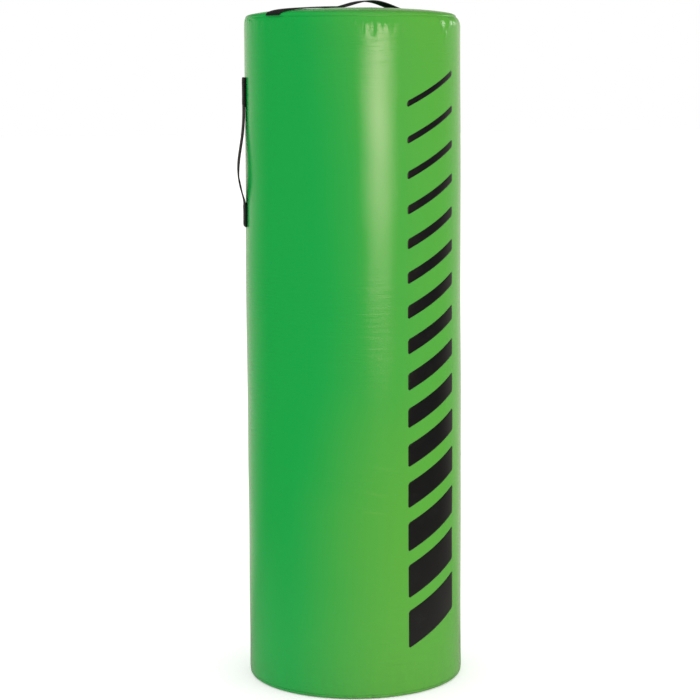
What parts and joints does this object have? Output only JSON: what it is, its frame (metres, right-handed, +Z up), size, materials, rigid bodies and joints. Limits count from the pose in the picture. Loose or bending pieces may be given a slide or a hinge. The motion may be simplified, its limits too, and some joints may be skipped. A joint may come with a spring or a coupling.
{
  "type": "tackling bag",
  "caption": "Upright padded tackling bag: foam-filled coated-cloth cylinder with a domed top, webbing handles on top and side, and a zip round the back of its foot.",
  "frame": {"origin": "centre of the flat underside of the base, on the floor", "axes": "+Z up along the bag's axis; -X towards the side handle; +Y towards the back, where the zip is"},
  "size_m": [0.4679, 0.4536, 1.421],
  "materials": {
    "green_cover": "glossy coated cloth, pale green sheen at grazing angles",
    "base_sheet": "heavier coated cloth of the same green, scuffed underneath",
    "webbing": "black woven webbing",
    "zip_tape": "black woven tape",
    "zip_teeth": "moulded black teeth on woven tape",
    "slider_metal": "black enamelled die casting",
    "patch_cloth": "coated backing cloth, hidden inside",
    "dense_foam": "reconstituted foam, hidden inside",
    "soft_foam": "soft foam, hidden inside"
  },
  "bodies": {
    "root": {"side_wall": "green_cover", "top_panel": "green_cover", "base_panel": "base_sheet", "base_seam_binding": "zip_tape", "top_seam_binding": "zip_tape", "base_foam_pad": "dense_foam", "foam_core": "dense_foam", "foam_sleeve": "soft_foam", "top_foam_pad": "soft_foam", "side_handle": "webbing", "side_handle_patch_upper": "patch_cloth", "side_handle_patch_lower": "patch_cloth", "top_handle": "webbing", "top_handle_patch_front": "patch_cloth", "top_handle_patch_rear": "patch_cloth", "zip_half_upper": "zip_teeth", "zip_half_lower": "zip_teeth", "zip_top_stop_upper": "slider_metal", "zip_top_stop_lower": "slider_metal", "zip_bottom_stop": "slider_metal"},
    "slider": {"zip_slider": "slider_metal"},
    "pull_tab": {"zip_pull_tab": "slider_metal"}
  },
  "joints": [
    {"name": "zip_travel", "type": "hinge", "parent": "root", "child": "slider", "pos_m": [0, 0, 0.036], "axis": [0, 0, 1], "range_deg": [0, 102], "deforming": ["zip_half_upper", "zip_half_lower"]},
    {"name": "tab_swing", "type": "hinge", "parent": "slider", "child": "pull_tab", "pos_m": [0.17862, 0.14276, 0.036], "axis": [0, 0, -1], "range_deg": [0, 180]}
  ]
}
